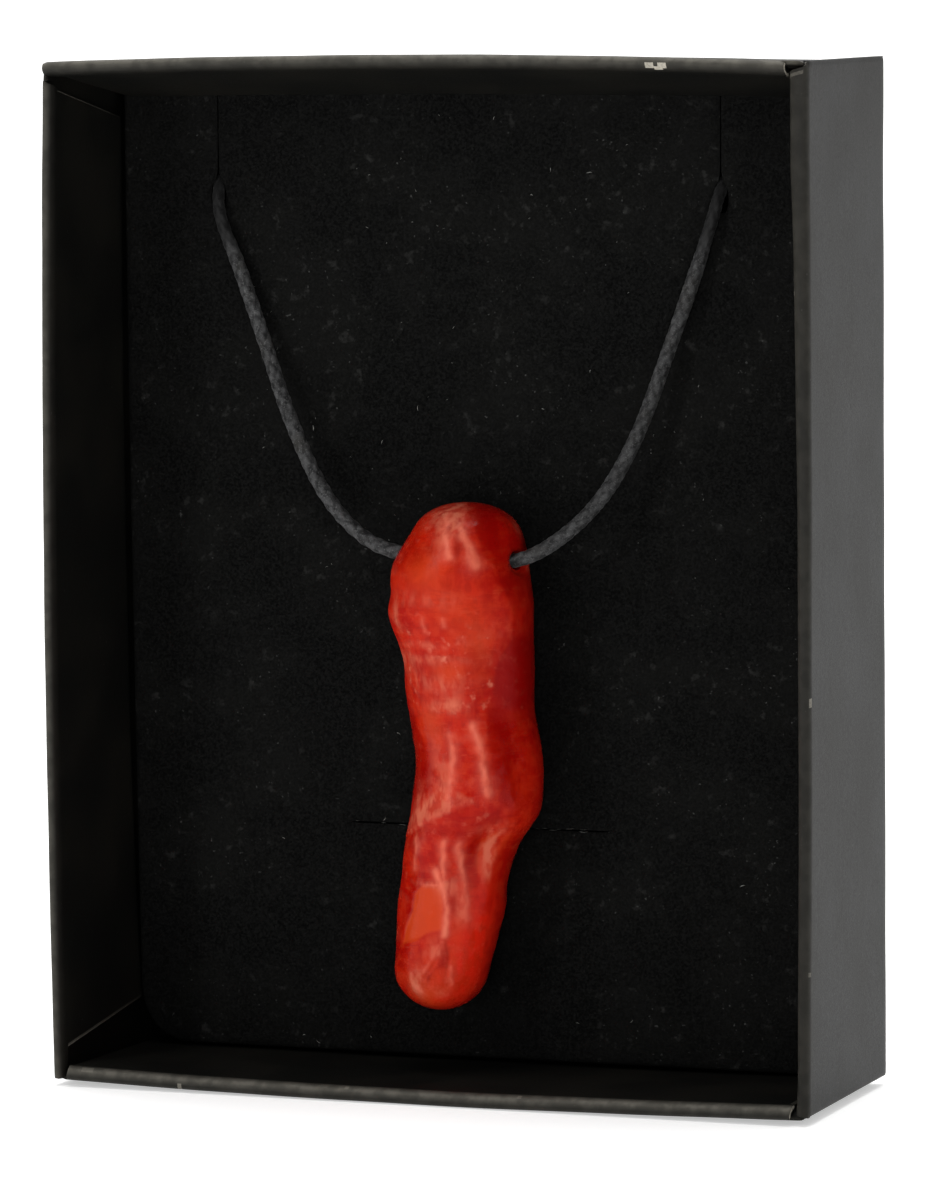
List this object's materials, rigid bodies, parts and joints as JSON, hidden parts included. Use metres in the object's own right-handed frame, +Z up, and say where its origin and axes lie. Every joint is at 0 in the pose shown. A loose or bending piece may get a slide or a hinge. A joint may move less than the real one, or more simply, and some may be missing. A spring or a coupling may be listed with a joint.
{
  "type": "red coral branch pendant, chili pepper shaped, on a waxed cord in an open cardboard display box",
  "caption": "Long polished red pendant drilled across its top, threaded on a dark waxed cord and laid on a flocked pad in an open folded cardboard box.",
  "frame": {"origin": "on the surface that the box stands on, under the middle of the box", "axes": "+Z up along the box's height, -Y out of the box's open front, +X to the right as seen from the front"},
  "size_m": [0.07, 0.024, 0.09],
  "materials": {
    "polished_coral": "polished, mottled orange-red with pale patches and fine pits",
    "waxed_cord": "twisted waxed cotton, dull sheen",
    "clasp_metal": "satin",
    "flocked_pad": "matt short-pile flocking",
    "black_card": "matt coated card with worn folds"
  },
  "bodies": {
    "root": {"pendant": "polished_coral", "cord": "waxed_cord", "clasp": "clasp_metal", "pad": "flocked_pad", "box_tray": "black_card"}
  },
  "joints": []
}
